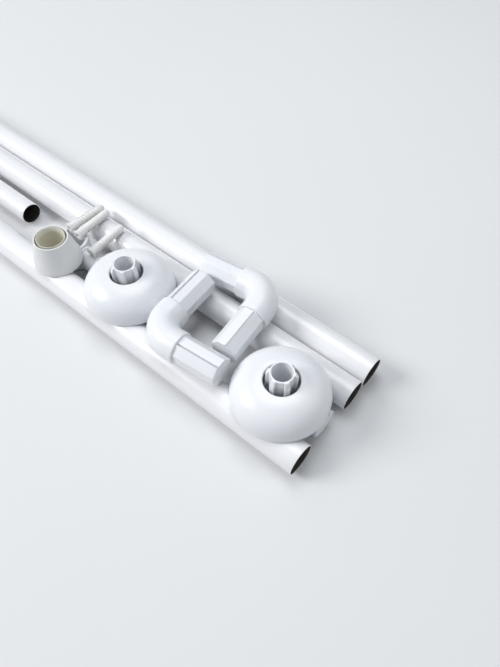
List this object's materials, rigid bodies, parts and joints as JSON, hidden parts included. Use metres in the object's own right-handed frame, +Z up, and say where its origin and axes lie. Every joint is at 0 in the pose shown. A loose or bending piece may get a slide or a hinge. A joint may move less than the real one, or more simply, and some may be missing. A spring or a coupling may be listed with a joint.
{
  "type": "shower curtain rod",
  "caption": "Knocked-down corner shower curtain rod: white tube rails and ceiling strut laid side by side, with faceted elbows, domed wall flanges, ceiling cup and small fittings.",
  "frame": {"origin": "on the floor under the middle of the whole laid-out set", "axes": "+X along the rails towards their front ends, +Y across the set from the near rail to the far rails, +Z up"},
  "size_m": [0.8, 0.117, 0.0575],
  "materials": {
    "rail_paint": "gloss white powder coat",
    "fitting_plastic": "gloss white moulding",
    "cup_plastic": "semi-gloss white moulding",
    "socket_plastic": "semi-gloss ivory moulding",
    "screw_steel": "bright zinc plate",
    "plug_plastic": "matt moulding"
  },
  "bodies": {
    "root": {"rail_near": "rail_paint", "rail_middle": "rail_paint", "rail_far": "rail_paint", "ceiling_strut": "rail_paint", "corner_elbow_left": "fitting_plastic", "corner_elbow_right": "fitting_plastic", "near_flange_cover": "fitting_plastic", "near_wall_plate": "fitting_plastic", "near_wall_peg": "fitting_plastic", "far_flange_cover": "fitting_plastic", "far_wall_plate": "fitting_plastic", "far_wall_peg": "fitting_plastic", "ceiling_cup": "cup_plastic", "ceiling_plate": "socket_plastic", "ceiling_socket": "socket_plastic", "rail_clip": "fitting_plastic", "straight_joiner": "fitting_plastic", "fixing_screws": "screw_steel", "wall_plugs": "plug_plastic"}
  },
  "joints": []
}
